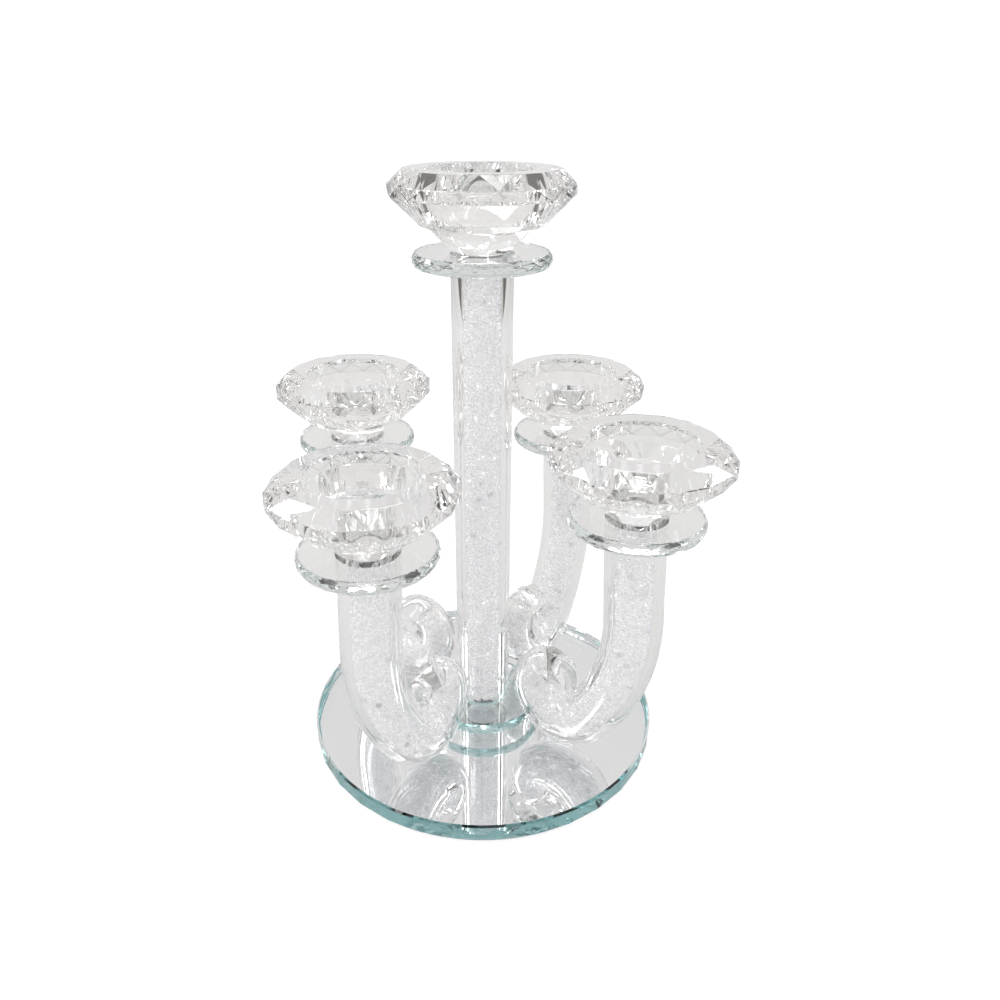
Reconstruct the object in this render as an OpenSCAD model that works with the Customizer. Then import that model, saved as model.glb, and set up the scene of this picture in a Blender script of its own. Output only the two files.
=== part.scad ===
// Five-light crystal candelabra: four scroll arms round a taller centre column,
// on a round mirrored glass base. Millimetres, +Z up, centred on the column.

/* [Base] */
// Diameter of the mirrored base
base_d = 153; // [140:1:180]
// Thickness of the base glass
base_glass_t = 8.4; // [6:0.2:12]
// Thickness of the silvering under the glass
silver_t = 0.2; // [0.1:0.1:0.4]
// Thickness of the protective backing under the silvering
backing_t = 0.4; // [0.3:0.1:1]
// Number of flats cut round the lower edge
base_flats = 32; // [20:4:48]
// Width of the cut lower bevel
base_bevel = 1.2; // [1:0.2:4]

/* [Drip plates and foot disc] */
// Diameter across the corners of a plate
plate_d = 50.5; // [44:0.5:60]
// Thickness of a plate
plate_t = 5; // [3:0.5:8]
// Number of facets round a plate's edge
plate_facets = 24; // [16:2:32]
// How far the facets slope in at the top and bottom of the edge
plate_bevel = 0.9; // [0.4:0.1:1.5]

/* [Tubes] */
// Outside diameter of the glass tubes
tube_d = 23; // [20:0.5:26]
// Diameter of the bore that holds the crystals
bore_d = 15.4; // [12:0.2:17]
// Gap between the crystals and the bore wall
fill_gap = 0.1; // [0.05:0.05:0.3]
// Height of the column tube
column_h = 192; // [150:1:240]

/* [Arms] */
// Distance from the column to each outer cup
ring_r = 68.5; // [64:0.5:80]
// Height of the lower pair of arm tubes above the table
arm_top_z = 116.7; // [105:0.1:140]
// How much higher the other pair stands
pair_rise = 4.8; // [0:0.1:10]
// Outward lean of the arm below its plate, in degrees
arm_lean = 3.5; // [0:0.5:5]
// Bend radius of the long upper curve
upper_bend_r = 83; // [70:1:95]
// Angle of the long upper curve
upper_bend_a = 40; // [30:1:50]
// Bend radius of the tighter lower curve
lower_bend_r = 16.5; // [16:0.5:18]
// Bend radius where the scroll starts
scroll_start_r = 16.1; // [15.5:0.1:17]
// Angle that the scroll turns through
scroll_turn = 320; // [300:5:325]

/* [Candle cups] */
// Diameter across the girdle of a cup
cup_d = 66; // [60:1:75]
// Height of a cup
cup_h = 27.6; // [25:0.2:32]
// Diameter of the tealight socket
socket_d = 40; // [39:0.5:42]
// Depth of the tealight socket
socket_depth = 15; // [12:0.5:16]
// Number of facets round the cup
cup_facets = 16; // [12:2:24]
// Number of facets round the cup's foot
foot_facets = 8; // [6:1:12]

/* [Hidden] */

clear_glass = [0.90, 0.93, 0.94, 0.45];
teal_glass = [0.72, 0.86, 0.85, 0.6];
crystal_white = [0.93, 0.93, 0.98];
mirror_grey = [0.82, 0.83, 0.88];
backing_grey = [0.55, 0.57, 0.60];

round_fn = 96;
layer = 0.02;

base_r = base_d / 2;
base_top_z = backing_t + silver_t + base_glass_t;
base_arris = 0.8;
silver_r = base_r - base_bevel - 0.4;
plate_r = plate_d / 2;
column_z = base_top_z + plate_t;
column_top_z = column_z + column_h;
tube_r = tube_d / 2;
bore_r = bore_d / 2;

// Heights and radii of the cup's facet rings, as shares of the whole cup.
cup_r = cup_d / 2;
foot_bottom_r = 0.345 * cup_r;
foot_top_r = 0.6 * cup_r;
ledge_r = 0.67 * cup_r;
rim_r = 0.835 * cup_r;
foot_h = 0.32 * cup_h;
girdle_low_z = 0.69 * cup_h;
girdle_high_z = 0.83 * cup_h;

// The rod is laid in pieces with a hair between them, and a slightly larger bead
// of glass closes each joint. The scroll's rings stand scroll_step degrees apart.
joint_gap = 0.15;
root_overlap = 0.1;
bead_share = 1.008;
scroll_step = 13.5;
tube_sides = 20;
bore_sides = 16;

// Arms 1 to 4 stand at 0, 90, 180 and 270 degrees; 1 and 3 are the taller pair.
function arm_angle(n) = 90 * (n - 1);
function arm_z(n) = arm_top_z + (n % 2 == 1 ? pair_rise : 0);

// Angles along an arm are counted from the outward level; 180 is level, heading inward.
top_a = 90 - arm_lean;
mid_a = top_a + upper_bend_a;
bottom_z = base_top_z + tube_r * bead_share;
trim = 2;

function bend_drop(r, from, to) = r * (cos(from) - cos(to));
bends_drop = bend_drop(upper_bend_r, top_a, mid_a) + bend_drop(lower_bend_r, mid_a, 180);
function straight_length(n) = (arm_z(n) - bottom_z - bends_drop) / cos(arm_lean);

// The scroll starts level at the mirror, heading inward, and winds up and back over
// itself; its bend radius shrinks evenly with the angle turned.
scroll_shrink = 2.28;
scroll_share = 0.75;
fill_turn = 130;

function scroll_bend(a) = scroll_start_r - scroll_shrink * a * PI / 180;
function scroll_centre(a) = [
    scroll_bend(a) * sin(a) + scroll_shrink * (1 - cos(a)),
    scroll_start_r - scroll_bend(a) * cos(a) - scroll_shrink * sin(a),
];
function taper(a) = 1 - scroll_share * pow(a / scroll_turn, 0.85);

// A round rod wound along the scroll up to the angle last_a. Like a bend, it starts
// at the origin up +Z and turns towards +X.
module scroll_rod(r, last_a, sides) {
    steps = round(last_a / scroll_step);
    last_row = steps + 1;
    root = [
        for (t = [0:sides - 1])
            [r * cos(360 * t / sides), -r * sin(360 * t / sides), -root_overlap]
    ];
    rings = [
        for (i = [0:steps], t = [0:sides - 1])
            let (
                a = i * last_a / steps,
                c = scroll_centre(a),
                out = r * taper(a) * cos(360 * t / sides),
                side = r * taper(a) * sin(360 * t / sides)
            )
            [c[1] + out * cos(a), -side, c[0] - out * sin(a)]
    ];
    walls = [
        for (i = [0:last_row - 1], t = [0:sides - 1])
            let (u = (t + 1) % sides)
            [i * sides + t, i * sides + u, (i + 1) * sides + u, (i + 1) * sides + t]
    ];
    start_cap = [for (t = [sides - 1:-1:0]) t];
    end_cap = [for (t = [0:sides - 1]) last_row * sides + t];
    polyhedron(points = concat(root, rings), faces = concat(walls, [start_cap, end_cap]));
}

// A round bend of one angle, from the origin up +Z, turning towards +X. It stops a
// hair short at both ends, where a bead joins it to the next piece.
module bend(bend_r, angle, r) {
    skip = joint_gap / bend_r * 180 / PI;
    translate([bend_r, 0, 0])
        rotate([90, 0, 0])
            rotate([0, 0, 180 - angle + skip])
                rotate_extrude(angle = angle - 2 * skip, $fn = round_fn)
                    translate([bend_r, 0]) circle(r = r, $fn = round_fn);
}

module after_bend(bend_r, angle) {
    translate([bend_r, 0, 0])
        rotate([0, angle, 0])
            translate([-bend_r, 0, 0]) children();
}

module bead(r) {
    sphere(r = r * bead_share, $fn = round_fn);
}

// One arm's round rod of radius r, from its top down +Z, turning towards +X.
module arm_rod(n, r, last_a, sides) {
    length = straight_length(n) + trim;
    cylinder(h = length - joint_gap, r = r, $fn = round_fn);
    translate([0, 0, length]) {
        bead(r);
        bend(upper_bend_r, upper_bend_a, r);
        after_bend(upper_bend_r, upper_bend_a) {
            bead(r);
            bend(lower_bend_r, 180 - mid_a, r);
            after_bend(lower_bend_r, 180 - mid_a) {
                bead(r);
                scroll_rod(r, last_a, sides);
            }
        }
    }
}

// Puts an arm's rod in its place, cut level where it meets the drip plate.
module placed_arm(n) {
    rotate([0, 0, arm_angle(n)])
        difference() {
            translate([ring_r, 0, arm_z(n)])
                rotate([0, 180 - arm_lean, 0])
                    translate([0, 0, -trim]) children();
            translate([ring_r, 0, arm_z(n) + cup_h / 2])
                cube([2 * cup_d, 2 * cup_d, cup_h], center = true);
        }
}

// A thin many-sided slice, used to span the facets of cut glass.
module slice(r, z, sides, turn = 0) {
    translate([0, 0, z])
        rotate([0, 0, turn]) cylinder(h = layer, r = r, $fn = sides);
}

// A flat glass disc with a facet-cut edge, its lower face at z = 0.
module cut_disc() {
    half_step = 180 / plate_facets;
    hull() {
        slice(plate_r - plate_bevel, 0, plate_facets, half_step);
        slice(plate_r, 0.34 * plate_t, plate_facets);
        slice(plate_r, 0.66 * plate_t, plate_facets, half_step);
        slice(plate_r - plate_bevel, plate_t - layer, plate_facets);
    }
}

// A facet-cut tealight cup standing on its foot at z = 0.
module cut_cup() {
    half_step = 180 / cup_facets;
    difference() {
        union() {
            hull() {
                slice(foot_bottom_r, 0, foot_facets);
                slice(foot_top_r, foot_h, foot_facets);
            }
            hull() {
                slice(ledge_r, foot_h, cup_facets);
                slice(cup_r, girdle_low_z, cup_facets, half_step);
                slice(cup_r, girdle_high_z, cup_facets);
                slice(rim_r, cup_h - layer, cup_facets, half_step);
            }
        }
        translate([0, 0, cup_h - socket_depth])
            cylinder(h = socket_depth + 1, d = socket_d, $fn = round_fn);
    }
}

// Places its children on top of tube n: 1 to 4 are the arms, 5 is the column.
module on_tube(n, lift = 0) {
    if (n == 5) {
        translate([0, 0, column_top_z + lift]) children();
    } else {
        rotate([0, 0, arm_angle(n)])
            translate([ring_r, 0, arm_z(n) + lift]) children();
    }
}

module base_glass() {
    low_z = backing_t + silver_t;
    color(teal_glass)
        hull() {
            slice(base_r - base_bevel, low_z, base_flats);
            slice(base_r, low_z + base_bevel, base_flats, 180 / base_flats);
            slice(base_r, base_top_z - base_arris, round_fn);
            slice(base_r - base_arris, base_top_z - layer, round_fn);
        }
}

module base_silvering() {
    color(mirror_grey)
        translate([0, 0, backing_t])
            cylinder(h = silver_t, r = silver_r, $fn = round_fn);
}

module base_backing() {
    color(backing_grey)
        cylinder(h = backing_t, r = silver_r, $fn = round_fn);
}

module column_foot_disc() {
    color(teal_glass)
        translate([0, 0, base_top_z]) cut_disc();
}

module column_tube() {
    color(clear_glass)
        translate([0, 0, column_z])
            difference() {
                cylinder(h = column_h, r = tube_r, $fn = round_fn);
                translate([0, 0, -1])
                    cylinder(h = column_h + 2, r = bore_r, $fn = round_fn);
            }
}

module column_crystals() {
    color(crystal_white)
        translate([0, 0, column_z])
            cylinder(h = column_h, r = bore_r - fill_gap, $fn = round_fn);
}

module arm_tube(n) {
    color(clear_glass)
        placed_arm(n)
            difference() {
                arm_rod(n, tube_r, scroll_turn, tube_sides);
                arm_rod(n, bore_r, fill_turn, bore_sides);
            }
}

module arm_crystals(n) {
    color(crystal_white)
        placed_arm(n) arm_rod(n, bore_r - fill_gap, fill_turn, bore_sides);
}

module drip_plate(n) {
    color(teal_glass) on_tube(n) cut_disc();
}

module candle_cup(n) {
    color(clear_glass) on_tube(n, plate_t) cut_cup();
}

base_glass();
base_silvering();
base_backing();
column_foot_disc();
column_tube();
column_crystals();
arm_tube(1);  // arm_1_tube
arm_tube(2);  // arm_2_tube
arm_tube(3);  // arm_3_tube
arm_tube(4);  // arm_4_tube
arm_crystals(1);  // arm_1_crystals
arm_crystals(2);  // arm_2_crystals
arm_crystals(3);  // arm_3_crystals
arm_crystals(4);  // arm_4_crystals
drip_plate(1);  // drip_plate_1
drip_plate(2);  // drip_plate_2
drip_plate(3);  // drip_plate_3
drip_plate(4);  // drip_plate_4
drip_plate(5);  // drip_plate_5
candle_cup(1);  // candle_cup_1
candle_cup(2);  // candle_cup_2
candle_cup(3);  // candle_cup_3
candle_cup(4);  // candle_cup_4
candle_cup(5);  // candle_cup_5
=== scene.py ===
"""Looks of the five-light crystal candelabra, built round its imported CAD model.

Lengths are in metres and angles in degrees. Every size comes from the frame's boxes, apart
from the arms' bend radii and the fine detail, which are the named values below.
"""

import math
import random

import bmesh
import bpy
from mathutils import Matrix, Vector


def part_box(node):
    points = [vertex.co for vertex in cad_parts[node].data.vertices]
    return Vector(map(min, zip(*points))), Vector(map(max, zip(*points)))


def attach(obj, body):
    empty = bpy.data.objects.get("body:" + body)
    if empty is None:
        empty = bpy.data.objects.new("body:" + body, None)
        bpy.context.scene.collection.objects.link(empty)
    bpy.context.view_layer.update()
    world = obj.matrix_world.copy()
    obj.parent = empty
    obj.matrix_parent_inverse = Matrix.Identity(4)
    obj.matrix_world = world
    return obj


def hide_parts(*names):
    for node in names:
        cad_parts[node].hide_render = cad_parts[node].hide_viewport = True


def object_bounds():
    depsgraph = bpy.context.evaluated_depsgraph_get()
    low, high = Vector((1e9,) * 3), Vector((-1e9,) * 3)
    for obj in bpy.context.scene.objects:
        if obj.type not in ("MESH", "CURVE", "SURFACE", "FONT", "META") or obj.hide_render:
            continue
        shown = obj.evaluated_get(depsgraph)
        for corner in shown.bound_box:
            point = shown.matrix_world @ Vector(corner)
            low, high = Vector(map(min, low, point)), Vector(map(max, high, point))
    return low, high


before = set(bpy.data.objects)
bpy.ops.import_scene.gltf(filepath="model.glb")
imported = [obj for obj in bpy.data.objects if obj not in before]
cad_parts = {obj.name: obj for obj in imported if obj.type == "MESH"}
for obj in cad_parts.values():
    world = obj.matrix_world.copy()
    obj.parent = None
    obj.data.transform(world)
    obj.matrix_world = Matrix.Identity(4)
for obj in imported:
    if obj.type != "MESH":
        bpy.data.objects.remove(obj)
CAD_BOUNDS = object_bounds()
MM = 0.001

# ---------------------------------------------------------------- sizes from the frame


def box_size(node):
    low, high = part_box(node)
    return high - low


def box_middle(node):
    low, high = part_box(node)
    return (low + high) / 2


TUBE_R = box_size("column_tube").x / 2
FILL_R = box_size("column_crystals").x / 2
COLUMN_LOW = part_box("column_tube")[0].z
COLUMN_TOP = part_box("column_tube")[1].z
OVERALL_H = CAD_BOUNDS[1].z

# The arms' curve, as part.scad has it.
BORE_R = FILL_R + 0.1 * MM
ARM_LEAN = 3.5
UPPER_BEND_R = 83 * MM
UPPER_BEND_A = 40
LOWER_BEND_R = 16.5 * MM
SCROLL_START_R = 16.1 * MM
SCROLL_SHRINK = 2.28 * MM
SCROLL_TURN = 320
SCROLL_SHARE = 0.75
FILL_TURN = 130

# The rim of each cup's foot stands this far above its plate, and the silvering under its glass.
FOOT_GAP = 0.04 * MM
# Faces joined by clear glue are sunk this far into each other, so that no air parts them.
GLUE_SINK = 0.02 * MM
# Part of the radius of a cup's foot that the glue covers.
CUP_GLUE_SHARE = 0.85
# Width of the polished chamfer along a cut edge.
ARRIS = 0.22 * MM

# The camera's place and aim.
CAMERA_AZIMUTH = 34.94
CAMERA_DISTANCE = 310.6 * MM
CAMERA_HEIGHT = 263.7 * MM
CAMERA_OFFSET = 3.3 * MM
CAMERA_PITCH = 27.34
CAMERA_YAW = 0.34
CAMERA_LENS = 30.3
CAMERA_SHIFT = (0.0137, 0.0194)

# ---------------------------------------------------------------- node helpers


def new_material(name):
    mat = bpy.data.materials.new(name)
    mat.use_nodes = True
    mat.node_tree.nodes.clear()
    return mat


def add(tree, kind, **sockets):
    """A node of one kind, with constants set on the sockets that are named."""
    node = tree.nodes.new(kind)
    for key, value in sockets.items():
        node.inputs[key.replace("_", " ")].default_value = value
    return node


def noise(tree, scale, detail=2.0, coords=None):
    if coords is None:
        coords = tree.nodes.new("ShaderNodeTexCoord").outputs["Object"]
    node = add(tree, "ShaderNodeTexNoise", Scale=scale, Detail=detail)
    tree.links.new(coords, node.inputs["Vector"])
    return node.outputs["Fac"]


def ramp(tree, factor, stops):
    """A colour ramp whose stops are (position, colour)."""
    node = tree.nodes.new("ShaderNodeValToRGB")
    elements = node.color_ramp.elements
    while len(elements) < len(stops):
        elements.new(0.5)
    for element, (position, colour) in zip(elements, stops):
        element.position = position
        element.color = (*colour, 1.0)
    tree.links.new(factor, node.inputs["Fac"])
    return node.outputs["Color"]


def grey(value):
    return (value, value, value)


def bump(tree, height, distance, strength=1.0):
    node = add(tree, "ShaderNodeBump", Strength=strength, Distance=distance)
    tree.links.new(height, node.inputs["Height"])
    return node.outputs["Normal"]


def math_node(tree, operation, *values):
    node = tree.nodes.new("ShaderNodeMath")
    node.operation = operation
    for socket, value in zip(node.inputs, values):
        if isinstance(value, (int, float)):
            socket.default_value = value
        else:
            tree.links.new(value, socket)
    return node.outputs[0]


def dot_node(tree, vector, axis):
    node = add(tree, "ShaderNodeVectorMath")
    node.operation = "DOT_PRODUCT"
    node.inputs[1].default_value = axis
    tree.links.new(vector, node.inputs[0])
    return node.outputs["Value"]


def soft_step(tree, value, low, high):
    node = add(tree, "ShaderNodeMapRange", From_Min=low, From_Max=high)
    node.interpolation_type = "SMOOTHSTEP"
    tree.links.new(value, node.inputs["Value"])
    return node.outputs["Result"]


def surface(mat, shader):
    out = mat.node_tree.nodes.new("ShaderNodeOutputMaterial")
    mat.node_tree.links.new(shader, out.inputs["Surface"])
    return out


# ---------------------------------------------------------------- materials


GLASS_IOR = 1.52
# Noise scale of the slow waves along a drawn tube.
WAVE_SCALE = 60.0
# Absorption colours: the neutral grey of clear crystal, and the green of plate glass.
CRYSTAL_GREY = (0.5, 0.5, 0.5)
PLATE_TEAL = (0.4, 0.58, 0.57)
BASE_TEAL = (0.25, 0.62, 0.63)


def glass_material(name, tint, wave=0.0, absorb=None):
    """Clear glass: faint colour streaks, faint smudges, and the slow waves of a drawn tube."""
    mat = new_material(name)
    tree = mat.node_tree
    shader = add(tree, "ShaderNodeBsdfPrincipled", IOR=GLASS_IOR)
    shader.inputs["Transmission Weight"].default_value = 1.0
    streaks = noise(tree, 35.0)
    pale = tuple(min(1.0, c + 0.012) for c in tint)
    tree.links.new(ramp(tree, streaks, [(0.3, tint), (0.7, pale)]), shader.inputs["Base Color"])
    smudges = noise(tree, 140.0, 4.0)
    rough = ramp(tree, smudges, [(0.45, grey(0.0)), (0.75, grey(0.035))])
    tree.links.new(rough, shader.inputs["Roughness"])
    if wave:
        tree.links.new(bump(tree, noise(tree, WAVE_SCALE, 1.0), wave), shader.inputs["Normal"])
    out = surface(mat, shader.outputs["BSDF"])
    if absorb:
        colour, density = absorb
        volume = add(tree, "ShaderNodeVolumeAbsorption", Density=density)
        volume.inputs["Color"].default_value = (*colour, 1.0)
        tree.links.new(volume.outputs["Volume"], out.inputs["Volume"])
    return mat


def chip_material(name, glow):
    """Milky crystal chips: lavender white, glossy, a little see-through, and glowing by the given
    strength, which is painted light standing in for light that reaches the filling through the
    glass.
    """
    mat = new_material(name)
    tree = mat.node_tree
    shader = add(tree, "ShaderNodeBsdfPrincipled", IOR=1.6)
    shader.inputs["Transmission Weight"].default_value = 0.12
    shader.inputs["Coat Weight"].default_value = 0.6
    shader.inputs["Coat Roughness"].default_value = 0.02
    # The emission is painted light: a glow standing in for the light that reaches the filling
    # through the glass, though the chips are no lamp.
    shader.inputs["Emission Color"].default_value = (0.985, 0.985, 1.0, 1.0)
    shader.inputs["Emission Strength"].default_value = glow
    grain = noise(tree, 900.0, 3.0)
    colours = [(0.3, (0.82, 0.82, 0.85)), (0.5, (0.92, 0.92, 0.93)), (0.7, (1.0, 1.0, 1.0))]
    tree.links.new(ramp(tree, grain, colours), shader.inputs["Base Color"])
    rough = ramp(tree, grain, [(0.3, grey(0.05)), (0.7, grey(0.35))])
    tree.links.new(rough, shader.inputs["Roughness"])
    surface(mat, shader.outputs["BSDF"])
    return mat


def silver_material():
    mat = new_material("silvering")
    tree = mat.node_tree
    shader = add(tree, "ShaderNodeBsdfPrincipled", Metallic=1.0)
    cloud = noise(tree, 25.0, 3.0)
    colours = [(0.35, (0.985, 0.93, 0.94)), (0.65, (1.0, 0.945, 0.955))]
    tree.links.new(ramp(tree, cloud, colours), shader.inputs["Base Color"])
    rough = ramp(tree, cloud, [(0.3, grey(0.0)), (0.8, grey(0.02))])
    tree.links.new(rough, shader.inputs["Roughness"])
    surface(mat, shader.outputs["BSDF"])
    return mat


def backing_material():
    mat = new_material("backing_paint")
    tree = mat.node_tree
    shader = add(tree, "ShaderNodeBsdfPrincipled")
    orange_peel = noise(tree, 700.0, 3.0)
    colours = [(0.3, (0.28, 0.29, 0.31)), (0.7, (0.36, 0.37, 0.40))]
    tree.links.new(ramp(tree, orange_peel, colours), shader.inputs["Base Color"])
    rough = ramp(tree, orange_peel, [(0.3, grey(0.45)), (0.7, grey(0.6))])
    tree.links.new(rough, shader.inputs["Roughness"])
    tree.links.new(bump(tree, orange_peel, 0.05 * MM), shader.inputs["Normal"])
    surface(mat, shader.outputs["BSDF"])
    return mat


CUP_GLASS = glass_material("cup_glass", (0.955, 0.952, 0.945), absorb=(CRYSTAL_GREY, 3.0))
TUBE_GLASS = glass_material(
    "tube_glass", (0.965, 0.963, 0.958), wave=0.02 * MM, absorb=(CRYSTAL_GREY, 4.0)
)
PLATE_GLASS = glass_material("plate_glass", (0.96, 0.957, 0.95), absorb=(PLATE_TEAL, 6.0))
FOOT_GLASS = glass_material("foot_glass", grey(0.98), absorb=(BASE_TEAL, 11.0))
BASE_GLASS = glass_material("base_glass", grey(0.985), absorb=(BASE_TEAL, 11.0))
BEAD_GLASS = glass_material("bead_glass", (0.9, 0.9, 0.93))
# The chips glow a little by painted light, standing in for light that reaches them through the
# glass.
CHIPS = chip_material("crystal_chips", 0.205)
# A few chips glow brightly white: painted glints, standing in for glints of light on the filling.
PAINTED_GLINTS = chip_material("painted_glint_chips", 0.9)

# ---------------------------------------------------------------- mesh helpers


def piece(name, mesh, slot, node, *materials):
    """Makes a mesh into a piece that rides on the one body and stands for a CAD node."""
    for mat in materials:
        mesh.materials.append(mat)
    obj = bpy.data.objects.new(name, mesh)
    bpy.context.scene.collection.objects.link(obj)
    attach(obj, "root")
    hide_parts(node)
    return obj


# Facets that meet at more than CUT_ANGLE are chamfered, and past SHARP_ANGLE they shade apart.
CUT_ANGLE = 12.0
SHARP_ANGLE = 9.0


def cut_glass_mesh(node, name, low_gap, glue_share=0.0):
    """The node's own facets with a polished chamfer along each cut edge.

    low_gap lifts the lower end, or sinks it where it is negative. glue_share is the part of
    the foot's radius that is glued down; the rim round it is not.
    """
    low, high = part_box(node)
    bm = bmesh.new()
    bm.from_mesh(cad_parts[node].data)
    bmesh.ops.remove_doubles(bm, verts=bm.verts, dist=0.004 * MM)
    bmesh.ops.dissolve_limit(bm, angle_limit=math.radians(0.6), verts=bm.verts, edges=bm.edges)
    bend = math.radians(CUT_ANGLE)
    cuts = [e for e in bm.edges if len(e.link_faces) == 2 and e.calc_face_angle(0) > bend]
    bmesh.ops.bevel(
        bm, geom=cuts, offset=ARRIS, segments=1, affect="EDGES", clamp_overlap=True, profile=0.5
    )
    height = high.z - low.z
    for v in bm.verts:
        share = (v.co.z - low.z) / height
        v.co.z = low.z + low_gap + share * (height - low_gap)
    if glue_share:
        foot = min(bm.faces, key=lambda f: f.calc_center_median().z)
        foot_r = foot.calc_perimeter() / math.tau
        bmesh.ops.inset_individual(bm, faces=[foot], thickness=foot_r * (1 - glue_share))
        bmesh.ops.translate(bm, verts=foot.verts, vec=(0, 0, -low_gap - GLUE_SINK))
    mesh = bpy.data.meshes.new(name)
    bm.to_mesh(mesh)
    bm.free()
    mesh.shade_smooth()
    mesh.set_sharp_from_angle(angle=math.radians(SHARP_ANGLE))
    return mesh


# ---------------------------------------------------------------- the arms' curve


# Steps along the arm's two bends and its scroll, and the angles of the tip's closing rings.
UPPER_STEPS, LOWER_STEPS, SCROLL_STEPS = 26, 16, 66
TIP_STEPS = (20, 40, 58, 74, 84)


class Arm:
    """One arm's centre line, in the upright plane through the column and its cup."""

    def __init__(self, n):
        plate = f"drip_plate_{n}"
        middle = box_middle(plate)
        self.reach = math.hypot(middle.x, middle.y)
        self.out = Vector((middle.x, middle.y, 0)).normalized()
        self.side = Vector((-self.out.y, self.out.x, 0))
        self.top_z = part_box(plate)[0].z
        self.low_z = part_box(f"arm_{n}_tube")[0].z

    def centre_line(self, last_a):
        """(distance out, height, heading, share of the radius) along the arm, from its top.

        The heading is counted from the outward level, down and round to 180, and the
        scroll goes on from there.
        """
        top_a = 90 - ARM_LEAN
        mid_a = top_a + UPPER_BEND_A
        rise = bend_drop(UPPER_BEND_R, top_a, mid_a) + bend_drop(LOWER_BEND_R, mid_a, 180)
        straight = self.top_z - (self.low_z + TUBE_R) - rise
        points = [(self.reach, self.top_z, top_a, 1.0)]
        lean = math.tan(math.radians(ARM_LEAN))
        points.append((self.reach + straight * lean, self.top_z - straight, top_a, 1.0))
        points += bend_points(points[-1], UPPER_BEND_R, mid_a, UPPER_STEPS)
        points += bend_points(points[-1], LOWER_BEND_R, 180, LOWER_STEPS)
        points += scroll_points(points[-1], last_a, SCROLL_STEPS)
        return points

    def place(self, out, up, side):
        return self.out * out + self.side * side + Vector((0, 0, up))


def bend_drop(radius, start, end):
    return radius * (math.cos(math.radians(start)) - math.cos(math.radians(end)))


def bend_points(start, radius, end_a, steps):
    out, up, start_a, share = start
    points = []
    for i in range(1, steps + 1):
        a = start_a + (end_a - start_a) * i / steps
        turned = math.sin(math.radians(a)) - math.sin(math.radians(start_a))
        points.append((out + radius * turned, up - bend_drop(radius, start_a, a), a, share))
    return points


def scroll_points(start, last_a, steps):
    """The bend radius shrinks evenly with the angle turned, and the rod tapers."""
    out, up, heading, _ = start
    points = []
    for i in range(1, steps + 1):
        a = last_a * i / steps
        t = math.radians(a)
        bend_r = SCROLL_START_R - SCROLL_SHRINK * t
        along = bend_r * math.sin(t) + SCROLL_SHRINK * (1 - math.cos(t))
        rise = SCROLL_START_R - bend_r * math.cos(t) - SCROLL_SHRINK * math.sin(t)
        share = 1 - SCROLL_SHARE * (a / SCROLL_TURN) ** 0.85
        points.append((out - along, up + rise, heading + a, share))
    return points


def ring(arm, point, radius, sides):
    """A circle of points round the arm's centre line."""
    out, up, heading, _ = point
    a = math.radians(heading)
    across = (math.sin(a), math.cos(a))
    circle = []
    for k in range(sides):
        t = 2 * math.pi * k / sides
        c, s = radius * math.cos(t), radius * math.sin(t)
        circle.append(arm.place(out + c * across[0], up + c * across[1], s))
    return circle


def rod_rings(arm, radius, last_a, sides, top_gap):
    """Rings of a round rod along the arm: cut level at the top, and rounded at the tip."""
    points = arm.centre_line(last_a)
    rings = [ring(arm, p, radius * p[3], sides) for p in points]
    out, up, heading, share = points[-1]
    a = math.radians(heading)
    tip_r = radius * share
    for step in TIP_STEPS:
        b = math.radians(step)
        ahead = tip_r * math.sin(b)
        end = (out + ahead * math.cos(a), up - ahead * math.sin(a), heading, share)
        rings.append(ring(arm, end, tip_r * math.cos(b), sides))
    lean = math.tan(math.radians(ARM_LEAN))
    for v in rings[0]:
        drop = v.z - (arm.top_z - top_gap)
        v += arm.out * (drop * lean)
        v.z = arm.top_z - top_gap
    return rings


TUBE_SHARP_ANGLE = 40.0


def tube_mesh(name, outer, inner):
    """A closed tube from rings of points: the outer skin and the bore."""
    sides = len(outer[0])
    verts = [v for r in outer for v in r]
    faces = []

    def skin(first, count, flip):
        for i in range(count - 1):
            for k in range(sides):
                m = (k + 1) % sides
                a, b = first + i * sides, first + (i + 1) * sides
                quad = [a + k, a + m, b + m, b + k]
                faces.append(quad[::-1] if flip else quad)

    skin(0, len(outer), False)
    last = (len(outer) - 1) * sides
    faces.append([last + k for k in range(sides)])
    start = len(verts)
    verts += [v for r in inner for v in r]
    skin(start, len(inner), True)
    last = start + (len(inner) - 1) * sides
    faces.append([last + k for k in reversed(range(sides))])
    for k in range(sides):
        m = (k + 1) % sides
        faces.append([k, start + k, start + m, m])
    mesh = bpy.data.meshes.new(name)
    mesh.from_pydata([tuple(v) for v in verts], [], faces)
    bm = bmesh.new()
    bm.from_mesh(mesh)
    bmesh.ops.recalc_face_normals(bm, faces=bm.faces)
    bm.to_mesh(mesh)
    bm.free()
    mesh.shade_smooth()
    mesh.set_sharp_from_angle(angle=math.radians(TUBE_SHARP_ANGLE))
    return mesh


# ---------------------------------------------------------------- crystal filling

# The filling is laid at stations this far apart, in chips to the square millimetre of wall.
STATION_STEP = 0.8 * MM
CHIPS_PER_MM2 = 0.95
# Smallest and largest radius of a chip and of a bead, and the most of the bore that one takes.
CHIP_R = (0.42, 0.82)
BEAD_R = (0.9, 1.2)
CHIP_MOST = 0.45
# A chip stretches along each axis by a factor between these, and reaches this many radii.
CHIP_STRETCH = (0.75, 1.15)
CHIP_REACH = 1.16
# How far behind the wall the chips lie, as a spread, and the beads' clearance from it.
CHIP_DEPTH = 0.25 * MM
BEAD_CLEAR = 0.02 * MM
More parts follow.
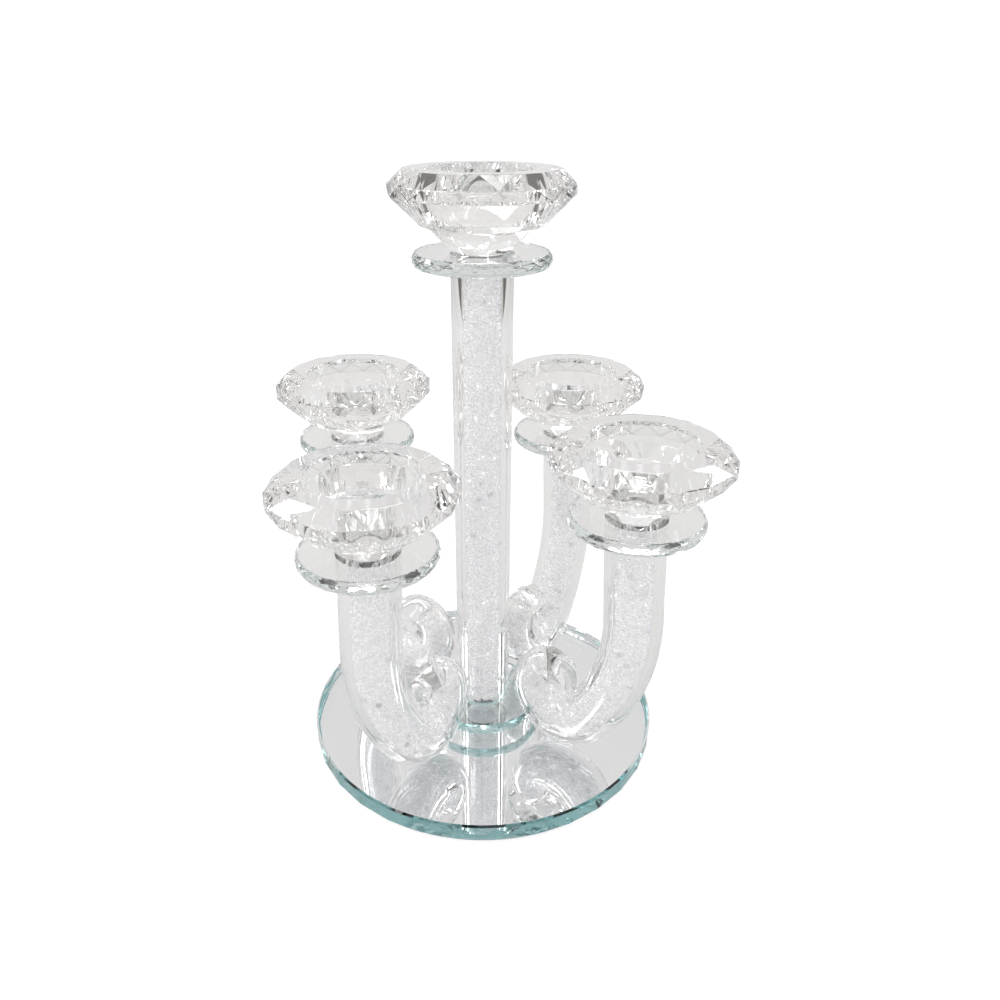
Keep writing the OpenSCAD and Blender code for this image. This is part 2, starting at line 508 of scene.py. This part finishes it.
# Share of the chips that are painted glints, glowing white where a glint of light would be, and
# their size beside the others, and the chance of a bead at a station of a bore wider than
# BEAD_BORE_R.
PAINTED_GLINT_SHARE = 0.008
PAINTED_GLINT_SIZE = 0.6
BEAD_CHANCE = 0.22
BEAD_BORE_R = 3 * MM
# The core behind the chips: its share of the radius, its sides, and how far its ends stand back.
CORE_SHARE = 0.8
CORE_SIDES = 20
END_INSET = 0.75 * STATION_STEP
# The three kinds of face, in the order of the filling's materials: chips, beads, and chips that
# glow white as painted glints.
CHIP, BEAD, PAINTED_GLINT = 0, 1, 2

CHIP_SHAPES = {
    "octahedron": (
        [(1, 0, 0), (-1, 0, 0), (0, 1, 0), (0, -1, 0), (0, 0, 1), (0, 0, -1)],
        [(0, 2, 4), (2, 1, 4), (1, 3, 4), (3, 0, 4), (2, 0, 5), (1, 2, 5), (3, 1, 5), (0, 3, 5)],
    ),
    "wedge": (
        [
            (1, 0.6, 0), (-0.5, 1, 0.2), (-0.8, -0.8, 0),
            (0.6, -0.9, 0.1), (0.1, 0, 0.9), (0, 0.1, -0.8),
        ],
        [(0, 1, 4), (1, 2, 4), (2, 3, 4), (3, 0, 4), (1, 0, 5), (2, 1, 5), (3, 2, 5), (0, 3, 5)],
    ),
}


def on_circle(station, t, radius):
    """The place at one angle and radius round a station's centre."""
    centre, across, side = station[:3]
    return centre + (across * math.cos(t) + side * math.sin(t)) * radius


def filling_mesh(name, stations, seed):
    """Crystal chips and a few round beads packed against the bore's wall, round a core.

    A station is (centre, across, side, ahead, radius, chips): one place along the bore, and
    how many chips lie there.
    """
    rng = random.Random(seed)
    verts, faces, kinds = [], [], []

    def put(shape, centre, size, kind):
        angle = rng.uniform(0, math.tau)
        axis = Vector((rng.gauss(0, 1), rng.gauss(0, 1), rng.gauss(0, 1) + 1e-6))
        turn = Matrix.Rotation(angle, 3, axis)
        first = len(verts)
        stretch = [size] * 3
        if kind != BEAD:
            stretch = [size * rng.uniform(*CHIP_STRETCH) for _ in range(3)]
        shape_verts, shape_faces = shape
        for v in shape_verts:
            p = turn @ Vector((v[0] * stretch[0], v[1] * stretch[1], v[2] * stretch[2]))
            verts.append(tuple(centre + p))
        for f in shape_faces:
            faces.append(tuple(first + i for i in f))
            kinds.append(kind)

    def chip_size(radius):
        return min(rng.uniform(*CHIP_R) * MM, radius * CHIP_MOST)

    bead = ball()
    shapes = list(CHIP_SHAPES.values())
    for station in stations:
        ahead, radius, chips = station[3:]
        for _ in range(chips):
            size = chip_size(radius)
            depth = radius - size * CHIP_REACH - abs(rng.gauss(0, CHIP_DEPTH))
            spot = on_circle(station, rng.uniform(0, math.tau), max(depth, 0))
            spot = spot + ahead * rng.uniform(-0.5, 0.5) * STATION_STEP
            # A few chips become painted glints, glowing white where a glint of light would be.
            kind = PAINTED_GLINT if rng.random() < PAINTED_GLINT_SHARE else CHIP
            shape = rng.choice(shapes)
            put(shape, spot, size * (PAINTED_GLINT_SIZE if kind == PAINTED_GLINT else 1), kind)
        if rng.random() < BEAD_CHANCE and radius > BEAD_BORE_R:
            size = rng.uniform(*BEAD_R) * MM
            spot = on_circle(station, rng.uniform(0, math.tau), radius - size - BEAD_CLEAR)
            put(bead, spot, size, BEAD)
    # Chips cover both ends too, so no end of the core shows flat.
    for station, inward in ((stations[0], 1), (stations[-1], -1)):
        ahead, radius, _ = station[3:]
        for _ in range(round(math.pi * radius**2 / MM**2 * CHIPS_PER_MM2)):
            size = chip_size(radius)
            t = rng.uniform(0, math.tau)
            reach = max(radius - size * CHIP_REACH, 0) * math.sqrt(rng.random())
            spot = on_circle(station, t, reach)
            put(rng.choice(shapes), spot + ahead * inward * size * CHIP_REACH, size, CHIP)
    # The core closes the view through the chips.
    first = len(verts)
    for i, station in enumerate(stations):
        ahead, radius, _ = station[3:]
        back = Vector((0, 0, 0))
        if i == 0:
            back = ahead * END_INSET
        if i == len(stations) - 1:
            back = -ahead * END_INSET
        for k in range(CORE_SIDES):
            t = math.tau * k / CORE_SIDES
            verts.append(tuple(on_circle(station, t, radius * CORE_SHARE) + back))
    for i in range(len(stations) - 1):
        for k in range(CORE_SIDES):
            m = (k + 1) % CORE_SIDES
            a, b = first + i * CORE_SIDES, first + (i + 1) * CORE_SIDES
            faces.append((a + k, a + m, b + m, b + k))
            kinds.append(CHIP)
    last = first + (len(stations) - 1) * CORE_SIDES
    faces.append(tuple(first + k for k in reversed(range(CORE_SIDES))))
    faces.append(tuple(last + k for k in range(CORE_SIDES)))
    kinds += [CHIP, CHIP]
    mesh = bpy.data.meshes.new(name)
    mesh.from_pydata(verts, [], faces)
    mesh.polygons.foreach_set("material_index", kinds)
    mesh.polygons.foreach_set("use_smooth", [k == BEAD for k in kinds])
    mesh.update()
    return mesh


def ball():
    bm = bmesh.new()
    bmesh.ops.create_icosphere(bm, subdivisions=2, radius=1.0)
    verts = [tuple(v.co) for v in bm.verts]
    faces = [tuple(v.index for v in f.verts) for f in bm.faces]
    bm.free()
    return verts, faces


# The first station's distance from the end of the bore, in the column and in an arm.
COLUMN_END_CLEAR = 0.9 * MM
ARM_END_CLEAR = 1.0 * MM


def chips_at(radius):
    return max(1, round(math.tau * radius * STATION_STEP / MM**2 * CHIPS_PER_MM2))


def column_stations():
    low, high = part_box("column_crystals")
    clear = COLUMN_END_CLEAR
    count = int((high.z - low.z - 2 * clear) / STATION_STEP)
    out = []
    for i in range(count + 1):
        z = low.z + clear + i * (high.z - low.z - 2 * clear) / count
        axes = Vector((1, 0, 0)), Vector((0, 1, 0)), Vector((0, 0, 1))
        out.append((Vector((0, 0, z)), *axes, FILL_R, chips_at(FILL_R)))
    return out


def arm_stations(arm):
    """Evenly spaced places along the arm's bore."""
    points = arm.centre_line(FILL_TURN)
    out, walked, due = [], 0.0, ARM_END_CLEAR
    for p, q in zip(points, points[1:]):
        length = math.hypot(q[0] - p[0], q[1] - p[1])
        while walked + length >= due:
            t = (due - walked) / length
            o, u, heading, share = (a + (b - a) * t for a, b in zip(p, q))
            a = math.radians(heading)
            radius = FILL_R * share
            across = arm.out * math.sin(a) + Vector((0, 0, math.cos(a)))
            ahead = arm.out * math.cos(a) - Vector((0, 0, math.sin(a)))
            out.append((arm.place(o, u, 0), across, arm.side, ahead, radius, chips_at(radius)))
            due += STATION_STEP
        walked += length
    return out


# ---------------------------------------------------------------- the pieces


def make_base():
    mesh = cut_glass_mesh("base_glass", "base_glass_cut", FOOT_GAP)
    piece("base_glass_cut", mesh, "base_glass", "base_glass", BASE_GLASS)
    for node, mat in (("base_silvering", silver_material()), ("base_backing", backing_material())):
        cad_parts[node].data.materials.clear()
        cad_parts[node].data.materials.append(mat)


def make_plates():
    mesh = cut_glass_mesh("column_foot_disc", "column_foot_disc_cut", -GLUE_SINK)
    piece("column_foot_disc_cut", mesh, "plate_glass", "column_foot_disc", FOOT_GLASS)
    for n in range(1, 6):
        node = f"drip_plate_{n}"
        mesh = cut_glass_mesh(node, node + "_cut", 0)
        piece(node + "_cut", mesh, "plate_glass", node, PLATE_GLASS)


def make_cups():
    for n in range(1, 6):
        node = f"candle_cup_{n}"
        mesh = cut_glass_mesh(node, node + "_cut", FOOT_GAP, CUP_GLUE_SHARE)
        piece(node + "_cut", mesh, "cup_glass", node, CUP_GLASS)


# Sides of the column and arm tubes, and steps up the column.
COLUMN_SIDES, ARM_SIDES, COLUMN_STEPS = 96, 64, 24
FILLING_MATERIALS = CHIPS, BEAD_GLASS, PAINTED_GLINTS


def make_column():
    sides, steps = COLUMN_SIDES, COLUMN_STEPS

    def rings(radius):
        low, high = COLUMN_LOW - GLUE_SINK, COLUMN_TOP + GLUE_SINK
        out = []
        for i in range(steps + 1):
            z = low + (high - low) * i / steps
            circle = [math.tau * k / sides for k in range(sides)]
            out.append([Vector((radius * math.cos(t), radius * math.sin(t), z)) for t in circle])
        return out

    mesh = bpy.data.meshes.new("column_tube_drawn")
    outer, inner = rings(TUBE_R), rings(BORE_R)
    verts = [tuple(v) for r in outer + inner for v in r]
    faces = []
    start = len(outer) * sides
    for i in range(steps):
        for k in range(sides):
            m = (k + 1) % sides
            a, b = i * sides, (i + 1) * sides
            faces.append((a + k, a + m, b + m, b + k))
            faces.append((start + a + m, start + a + k, start + b + k, start + b + m))
    top = steps * sides
    for k in range(sides):
        m = (k + 1) % sides
        faces.append((m, k, start + k, start + m))
        faces.append((top + k, top + m, start + top + m, start + top + k))
    mesh.from_pydata(verts, [], faces)
    mesh.shade_smooth()
    mesh.set_sharp_from_angle(angle=math.radians(TUBE_SHARP_ANGLE))
    piece("column_tube_drawn", mesh, "tube_glass", "column_tube", TUBE_GLASS)
    mesh = filling_mesh("column_crystal_chips", column_stations(), 5)
    piece("column_crystal_chips", mesh, "crystal_chips", "column_crystals", *FILLING_MATERIALS)


def make_arms():
    for n in range(1, 5):
        arm = Arm(n)
        outer = rod_rings(arm, TUBE_R, SCROLL_TURN, ARM_SIDES, -GLUE_SINK)
        inner = rod_rings(arm, BORE_R, FILL_TURN, ARM_SIDES, -GLUE_SINK)
        mesh = tube_mesh(f"arm_{n}_tube_drawn", outer, inner)
        piece(f"arm_{n}_tube_drawn", mesh, "tube_glass", f"arm_{n}_tube", TUBE_GLASS)
        mesh = filling_mesh(f"arm_{n}_crystal_chips", arm_stations(arm), n)
        name = f"arm_{n}_crystal_chips"
        piece(name, mesh, "crystal_chips", f"arm_{n}_crystals", *FILLING_MATERIALS)


# ---------------------------------------------------------------- floor, light, camera

# Half the width of the pale sheet that the glass sees, and how far out the dark beside it goes.
SHEET_HALF_W = 0.7
DARK_REACH = 2.2
FLOOR_R = 12.0
# Strength of the studio, and how much of it is left in the middle of a dark strip.
STUDIO_STRENGTH = 1.02
STRIP_FLOOR = 0.03


def mix_by_ray(tree, in_glass, seen):
    """One shader for what the object reflects and refracts, and one for what is seen directly."""
    mix = tree.nodes.new("ShaderNodeMixShader")
    tree.links.new(tree.nodes.new("ShaderNodeLightPath").outputs["Is Camera Ray"], mix.inputs[0])
    tree.links.new(in_glass, mix.inputs[1])
    tree.links.new(seen, mix.inputs[2])
    return mix.outputs[0]


def make_floor():
    """A white floor, which the glass sees as a pale grey sheet with dark to either side."""
    bm = bmesh.new()
    bmesh.ops.create_circle(bm, cap_ends=True, segments=96, radius=FLOOR_R)
    mesh = bpy.data.meshes.new("floor")
    bm.to_mesh(mesh)
    bm.free()
    mat = new_material("floor_white")
    tree = mat.node_tree
    coords = tree.nodes.new("ShaderNodeTexCoord").outputs["Object"]
    distance = add(tree, "ShaderNodeVectorMath")
    distance.operation = "LENGTH"
    tree.links.new(coords, distance.inputs[0])
    a = math.radians(CAMERA_AZIMUTH)
    across = math_node(tree, "ABSOLUTE", dot_node(tree, coords, (math.cos(a), math.sin(a), 0)))
    aside = soft_step(tree, across, SHEET_HALF_W, SHEET_HALF_W * 1.06)
    close = soft_step(tree, distance.outputs["Value"], DARK_REACH * 1.1, DARK_REACH)
    dark = math_node(tree, "MULTIPLY", aside, close)

    def shader(colours, glow):
        node = add(tree, "ShaderNodeBsdfPrincipled", Roughness=0.9)
        tree.links.new(colours, node.inputs["Base Color"])
        node.inputs["Emission Strength"].default_value = 1.0
        tree.links.new(glow, node.inputs["Emission Color"])
        return node.outputs["BSDF"]

    tone = ramp(tree, noise(tree, 6.0), [(0.3, grey(0.29)), (0.7, grey(0.31))])
    far = math_node(tree, "MULTIPLY", distance.outputs["Value"], 1 / DARK_REACH)
    seen = shader(tone, ramp(tree, far, [(0, grey(0.78)), (0.8, grey(0.86))]))
    in_glass = shader(
        ramp(tree, dark, [(0, grey(0.3)), (1, (0.05, 0.045, 0.04))]),
        ramp(tree, dark, [(0, grey(0.4)), (1, (0.03, 0.025, 0.02))]),
    )
    surface(mat, mix_by_ray(tree, in_glass, seen))
    mesh.materials.append(mat)
    floor = bpy.data.objects.new("floor", mesh)
    floor.location.z = CAD_BOUNDS[0].z
    bpy.context.scene.collection.objects.link(floor)


# Dark upright strips in the studio: (azimuth, width, lowest and highest elevation), in degrees.
# They give the cut glass its dark accents, as the room's dark edges do.
DARK_STRIPS = [
    (CAMERA_AZIMUTH - 8, 7, 30, 75),
    (CAMERA_AZIMUTH + 26, 3, 12, 60),
    (CAMERA_AZIMUTH + 64, 5, 12, 50),
    (CAMERA_AZIMUTH + 118, 6, 14, 60),
    (CAMERA_AZIMUTH - 52, 4, 12, 65),
    (CAMERA_AZIMUTH - 96, 7, 14, 55),
    (CAMERA_AZIMUTH - 140, 4, 14, 60),
]


def strip_mask(tree, direction, height, azimuth, width, low, high):
    """1 inside one upright strip of the studio's walls, and 0 outside it."""
    a = math.radians(azimuth)
    half = math.radians(width / 2)
    off = math_node(tree, "ABSOLUTE", dot_node(tree, direction, (math.cos(a), math.sin(a), 0)))
    mask = soft_step(tree, off, half * 1.2, half * 0.8)
    front = soft_step(tree, dot_node(tree, direction, (math.sin(a), -math.cos(a), 0)), 0.0, 0.05)
    bottom = soft_step(tree, height, math.sin(math.radians(low)), math.sin(math.radians(low + 3)))
    top = soft_step(tree, height, math.sin(math.radians(high)), math.sin(math.radians(high - 3)))
    for part in (front, bottom, top):
        mask = math_node(tree, "MULTIPLY", mask, part)
    return mask


def make_world():
    """A pale grey studio with a few dark strips, and a white backdrop seen directly."""
    world = bpy.data.worlds.new("studio")
    bpy.context.scene.world = world
    world.use_nodes = True
    tree = world.node_tree
    tree.nodes.clear()
    direction = tree.nodes.new("ShaderNodeTexCoord").outputs["Generated"]
    split = tree.nodes.new("ShaderNodeSeparateXYZ")
    tree.links.new(direction, split.inputs[0])
    height = split.outputs["Z"]
    stops = [
        (0.0, grey(0.80)),
        (0.14, grey(0.80)),
        (0.24, (0.83, 0.81, 0.805)),
        (0.75, (0.83, 0.81, 0.805)),
        (1.0, grey(0.95)),
    ]
    sky = ramp(tree, height, stops)
    light = STUDIO_STRENGTH
    for strip in DARK_STRIPS:
        mask = strip_mask(tree, direction, height, *strip)
        clear = math_node(tree, "SUBTRACT", 1.0, mask)
        light = math_node(tree, "MULTIPLY", light, math_node(tree, "MAXIMUM", clear, STRIP_FLOOR))
    background = tree.nodes.new("ShaderNodeBackground")
    tree.links.new(sky, background.inputs["Color"])
    tree.links.new(light, background.inputs["Strength"])
    white = add(tree, "ShaderNodeBackground", Color=(1, 1, 1, 1), Strength=STUDIO_STRENGTH)
    out = tree.nodes.new("ShaderNodeOutputWorld")
    tree.links.new(mix_by_ray(tree, background.outputs[0], white.outputs[0]), out.inputs["Surface"])


def area_light(name, size, power, azimuth, elevation, distance):
    """A soft panel that faces the middle of the object."""
    light = bpy.data.lights.new(name, "AREA")
    light.shape = "RECTANGLE"
    light.size, light.size_y = size
    light.energy = power
    obj = bpy.data.objects.new(name, light)
    target = Vector((0, 0, OVERALL_H / 2))
    az, el = math.radians(azimuth), math.radians(elevation)
    away = Vector((math.sin(az) * math.cos(el), -math.cos(az) * math.cos(el), math.sin(el)))
    obj.location = target + away * distance
    obj.rotation_euler = (-away).to_track_quat("-Z", "Y").to_euler()
    obj.visible_camera = False
    bpy.context.scene.collection.objects.link(obj)


def make_lights():
    area_light("left_strip", (0.2, 0.8), 4.2, CAMERA_AZIMUTH - 103, 30, 1.2)
    area_light("right_strip", (0.16, 0.8), 3.2, CAMERA_AZIMUTH + 104, 30, 1.2)
    area_light("front_panel", (0.2, 0.6), 2.0, CAMERA_AZIMUTH - 55, 44, 1.2)
    area_light("top_panel", (0.5, 0.5), 3.4, CAMERA_AZIMUTH + 165, 72, 1.3)


def make_camera():
    data = bpy.data.cameras.new("camera")
    data.lens = CAMERA_LENS
    data.sensor_width = 36
    data.shift_x, data.shift_y = CAMERA_SHIFT
    data.clip_start = 0.01
    camera = bpy.data.objects.new("camera", data)
    az = math.radians(CAMERA_AZIMUTH)
    right = Vector((math.cos(az), math.sin(az), 0))
    back = Vector((math.sin(az), -math.cos(az), 0))
    camera.location = back * CAMERA_DISTANCE + right * CAMERA_OFFSET + Vector((0, 0, CAMERA_HEIGHT))
    turn = math.radians(CAMERA_AZIMUTH + CAMERA_YAW)
    camera.rotation_euler = (math.radians(90 - CAMERA_PITCH), 0, turn)
    bpy.context.scene.collection.objects.link(camera)
    bpy.context.scene.camera = camera


def set_rendering():
    scene = bpy.context.scene
    scene.view_settings.view_transform = "Standard"
    scene.cycles.max_bounces = 40
    scene.cycles.transmission_bounces = 32
    scene.cycles.glossy_bounces = 32
    scene.cycles.diffuse_bounces = 4
    scene.cycles.sample_clamp_indirect = 6.0


make_camera()
make_floor()
make_world()
make_lights()
make_base()
make_plates()
make_column()
make_arms()
make_cups()
set_rendering()
